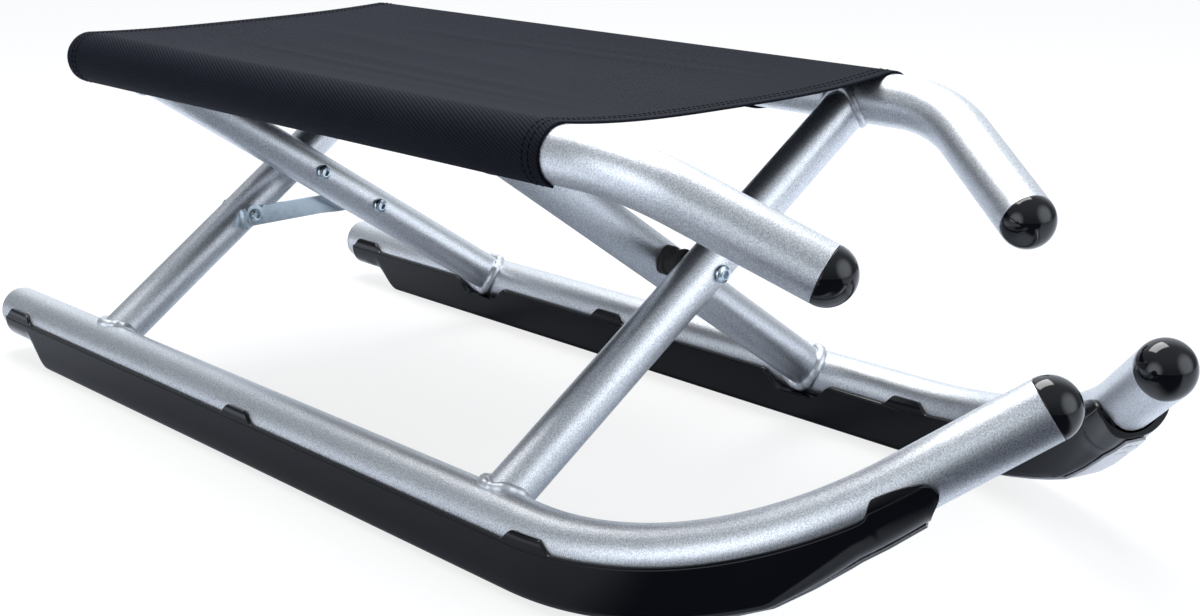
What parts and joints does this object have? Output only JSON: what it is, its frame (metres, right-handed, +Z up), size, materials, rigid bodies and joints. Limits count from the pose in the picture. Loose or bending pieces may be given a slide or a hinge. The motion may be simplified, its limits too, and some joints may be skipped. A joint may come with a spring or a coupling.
{
  "type": "steering sled",
  "caption": "Folding steering sled: two crossed tube frames hinged along the middle, cloth seat, bent-up runners with plastic shoes and steel strips, ball-capped front grips",
  "frame": {"origin": "middle of the sled on the ground, under the steel strips of the runners", "axes": "+X is the way the sled travels, +Y is the rider's left, +Z is up"},
  "size_m": [0.9394, 0.3868, 0.2684],
  "materials": {
    "aluminium_tube": "bead-blasted and clear anodised, matte with a fine grain",
    "zinc_steel": "zinc plated, slightly blue",
    "strip_steel": "bare spring steel, polished by use",
    "black_gloss_plastic": "moulded, glossy black",
    "grey_plastic": "moulded, matte dark grey",
    "black_rubber": "matte black elastomer",
    "seat_fabric": "woven, black, double-stitched front hem"
  },
  "bodies": {
    "outer_frame": {"outer_runner_tube": "aluminium_tube", "outer_seat_tube": "aluminium_tube", "outer_front_leg": "aluminium_tube", "outer_rear_leg": "aluminium_tube", "outer_runner_ball_cap": "black_gloss_plastic", "outer_handle_ball_cap": "black_gloss_plastic", "outer_runner_end_plug": "grey_plastic", "outer_seat_end_plug": "grey_plastic", "right_runner_shoe": "black_gloss_plastic", "right_steel_strip": "strip_steel", "right_strip_front_screw": "zinc_steel", "right_strip_rear_screw": "zinc_steel", "front_pivot_bolt": "zinc_steel", "front_pivot_nut": "zinc_steel", "front_pivot_washer": "zinc_steel", "catch_bolt": "zinc_steel", "catch_washer": "zinc_steel", "catch_nut": "zinc_steel", "seat_cloth": "seat_fabric"},
    "inner_frame": {"inner_runner_tube": "aluminium_tube", "inner_seat_tube": "aluminium_tube", "inner_front_leg": "aluminium_tube", "inner_rear_leg": "aluminium_tube", "inner_runner_ball_cap": "black_gloss_plastic", "inner_handle_ball_cap": "black_gloss_plastic", "inner_runner_end_plug": "grey_plastic", "inner_seat_end_plug": "grey_plastic", "left_runner_shoe": "black_gloss_plastic", "left_steel_strip": "strip_steel", "left_strip_front_screw": "zinc_steel", "left_strip_rear_screw": "zinc_steel", "front_pivot_bushing": "black_rubber", "rear_pivot_bolt": "zinc_steel", "rear_pivot_nut": "zinc_steel", "rear_pivot_spacer": "black_rubber", "rear_pivot_washer": "zinc_steel", "strut_pivot_bolt": "zinc_steel", "strut_pivot_nut": "zinc_steel", "strut_pivot_spacer": "zinc_steel"},
    "lock_strut_body": {"lock_strut": "zinc_steel"}
  },
  "joints": [
    {"name": "fold", "type": "hinge", "parent": "outer_frame", "child": "inner_frame", "pos_m": [0, 0, 0.15335], "axis": [-1, 0, 0], "range_deg": [0, 85], "deforming": ["seat_cloth"]},
    {"name": "strut_swing", "type": "hinge", "parent": "inner_frame", "child": "lock_strut_body", "pos_m": [-0.2979, 0.0493, 0.1192], "axis": [1, 0, 0], "range_deg": [0, 127.5]}
  ],
  "couplings": [
    {"joint": "strut_swing", "follows": "fold", "ratio": 1.5}
  ]
}
